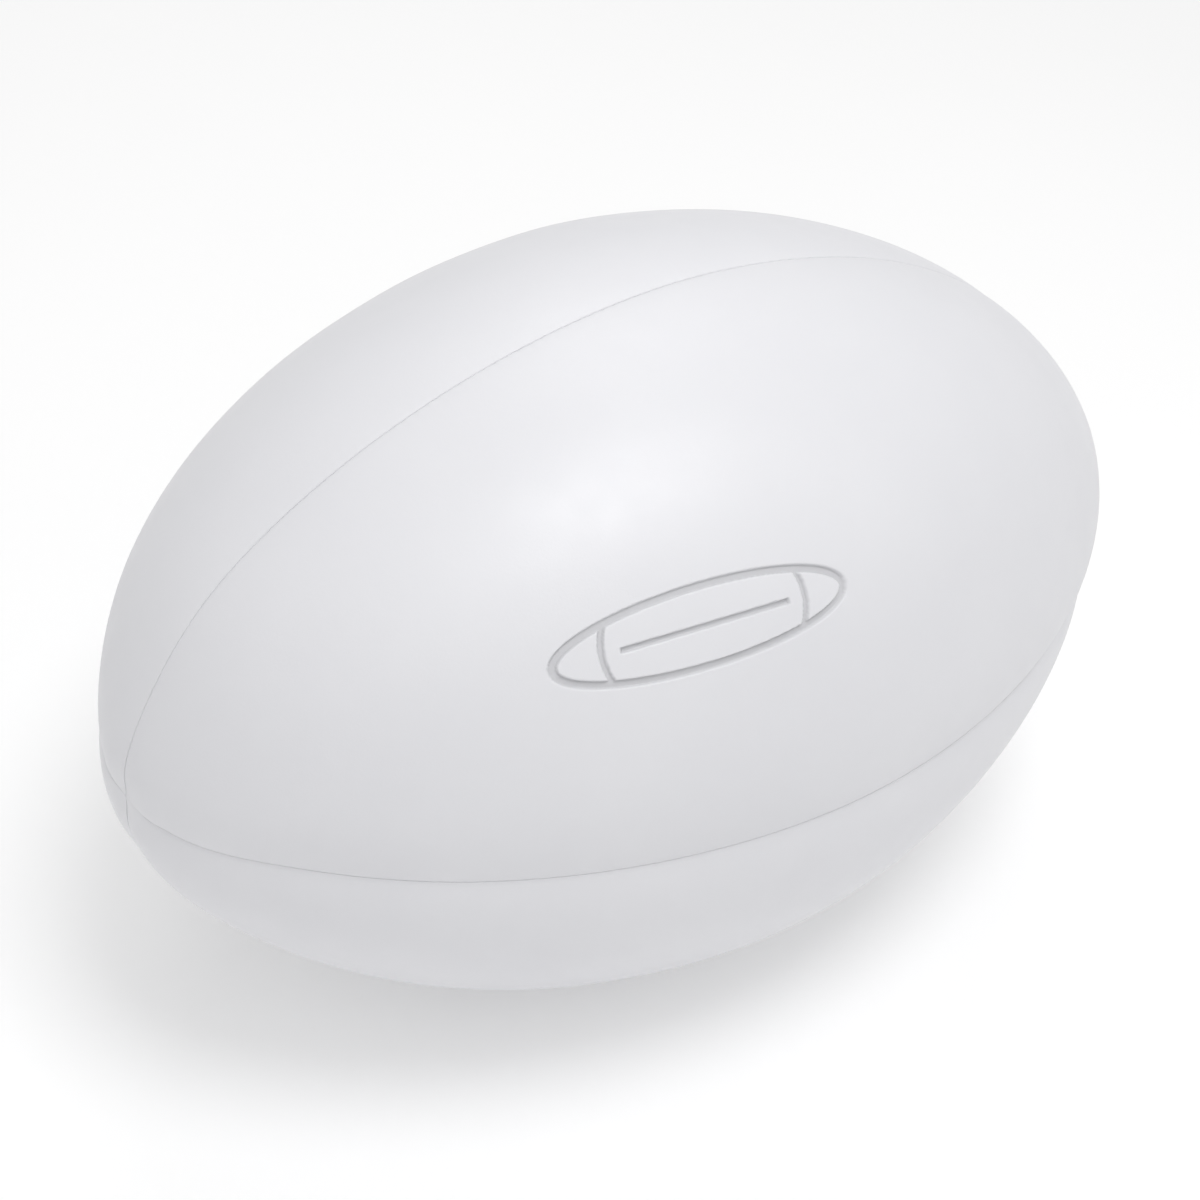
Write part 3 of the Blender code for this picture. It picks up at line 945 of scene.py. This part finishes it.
def valve_housing(surface):
    """Stem, flange and barrel in one, with a fine groove round the mouth of the bore."""
    foot = VALVE_SHELF - FLANGE_THICKNESS
    rim_start, rim_middle, rim_end = (BORE_RADIUS + width for width in BORE_RIM_WIDTHS)
    outline = [
        (BORE_RADIUS, VALVE_TOP),
        (rim_start, VALVE_TOP, 0.6),
        (rim_middle, VALVE_TOP - BORE_RIM_GROOVE, 0.3),
        (rim_end, VALVE_TOP, 0.6),
        (STEM_RADIUS, VALVE_TOP, 1.5),
        (STEM_RADIUS, VALVE_SHELF, 0.5),
        (FLANGE_RADIUS, VALVE_SHELF),
        (FLANGE_RADIUS, foot),
        (BARREL_RADIUS, foot),
        (BARREL_RADIUS, foot - BARREL_LENGTH, 1.5),
        (BORE_RADIUS, foot - BARREL_LENGTH),
    ]
    piece = lathe("valve_housing_body", rounded(outline), surface)
    stands_for(piece, "valve_housing")


def valve_plug(surface):
    """The soft plug in the housing's bore, with its head below and the hole for the needle on top."""
    crown = VALVE_TOP - PLUG_GAP
    tail = VALVE_SHELF - FLANGE_THICKNESS - BARREL_LENGTH - PLUG_GAP
    outline = [
        (0.0, crown - NEEDLE_DEPTH, 0.0),
        (NEEDLE_RADIUS, crown - NEEDLE_DEPTH, 0.0),
        (NEEDLE_RADIUS, crown - NEEDLE_FUNNEL_DEPTH, 0.5),
        (NEEDLE_FUNNEL_RADIUS, crown, 1.0),
        (PLUG_RADIUS, crown, 1.2),
        (PLUG_RADIUS, tail, 0.5),
        (PLUG_HEAD_RADIUS, tail, 1.0),
        (PLUG_RADIUS, tail - PLUG_HEAD_LENGTH, 1.0),
        (0.0, tail - PLUG_HEAD_LENGTH, 0.0),
    ]
    piece = lathe("valve_plug_body", rounded(outline), surface)
    stands_for(piece, "valve_plug")


def valve_patch(surface):
    """The ring of cloth that strengthens the panel round the valve's hole."""
    outline = [
        (VALVE_HOLE_RADIUS, PATCH_TOP, 0.5),
        (PATCH_RADIUS, PATCH_TOP),
        (PATCH_RADIUS, PATCH_TOP - PATCH_THICKNESS),
        (VALVE_HOLE_RADIUS, PATCH_TOP - PATCH_THICKNESS, 0.5),
    ]
    piece = lathe("valve_patch_cloth", rounded(outline), surface, cloth=True)
    stands_for(piece, "valve_patch")


def valve():
    """Housing, plug and cloth patch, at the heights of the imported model's own pieces."""
    rubber = moulded_material("valve_rubber", (0.10, 0.10, 0.10), (0.06, 0.06, 0.06), 0.40, 0.60)
    soft = moulded_material("plug_rubber", (0.72, 0.71, 0.67), (0.62, 0.60, 0.55), 0.42, 0.62)
    cotton = cloth_material("patch_cloth", (0.72, 0.64, 0.48), (0.44, 0.37, 0.25), 0.7 * MM)
    valve_housing(rubber)
    valve_plug(soft)
    valve_patch(cotton)


# ---------------------------------------------------------------- studio


def floor():
    """A wide floor under the ball."""
    reach = FLOOR_SIZE / 2
    corners = [(-reach, -reach), (reach, -reach), (reach, reach), (-reach, reach)]
    data = bpy.data.meshes.new("floor")
    data.from_pydata([(x, y, FLOOR_HEIGHT) for x, y in corners], [], [(0, 1, 2, 3)])
    data.materials.append(floor_material())
    piece = bpy.data.objects.new("floor", data)
    bpy.context.scene.collection.objects.link(piece)


def direction(azimuth, elevation):
    """The way from the ball to something at this azimuth and elevation."""
    turn = math.radians(azimuth)
    lift = math.radians(elevation)
    return Vector((math.sin(turn) * math.cos(lift), -math.cos(turn) * math.cos(lift), math.sin(lift)))


def soft_light(name, azimuth, elevation, distance, size, power):
    """A round lamp that faces the ball; size is its width and power is in watts."""
    data = bpy.data.lights.new(name, "AREA")
    data.shape = "DISK"
    data.size = size
    data.energy = power
    lamp = bpy.data.objects.new(name, data)
    bpy.context.scene.collection.objects.link(lamp)
    lamp.location = direction(azimuth, elevation) * distance
    lamp.rotation_euler = (-lamp.location).to_track_quat("-Z", "Y").to_euler()


def studio():
    """An even white surround, one main lamp overhead and three weak ones round the ball."""
    world = bpy.data.worlds.new("studio")
    bpy.context.scene.world = world
    world.use_nodes = True
    sky = world.node_tree.nodes["Background"]
    sky.inputs["Color"].default_value = (1.0, 1.0, 1.0, 1.0)
    sky.inputs["Strength"].default_value = SURROUND_STRENGTH
    soft_light("key", 0.0, 75.0, 1.3, 0.6, 6.4)
    soft_light("fill_front", -46.0, 60.0, 1.4, 0.9, 2.3)
    soft_light("fill_back", 150.0, 55.0, 1.5, 0.9, 2.7)
    soft_light("fill_right", 30.0, 45.0, 1.5, 0.9, 0.8)


def camera():
    """The view from above the near tip, a little rolled."""
    data = bpy.data.cameras.new("camera")
    data.lens = CAMERA_LENS
    data.clip_start = 0.01
    eye = bpy.data.objects.new("camera", data)
    bpy.context.scene.collection.objects.link(eye)
    back = direction(CAMERA_AZIMUTH, CAMERA_ELEVATION)
    level = back.to_track_quat("Z", "Y").to_matrix()
    turned_view = level @ Matrix.Rotation(math.radians(CAMERA_ROLL), 3, "Z")
    aim = turned_view.col[0] * CAMERA_ASIDE + turned_view.col[1] * CAMERA_RAISED
    eye.location = aim + back * CAMERA_DISTANCE
    eye.rotation_euler = turned_view.to_euler()
    bpy.context.scene.camera = eye


def main():
    """Builds the scene."""
    bpy.context.scene.view_settings.view_transform = "Standard"
    camera()
    studio()
    floor()
    covers()
    plies()
    bladder()
    threads()
    valve()


main()
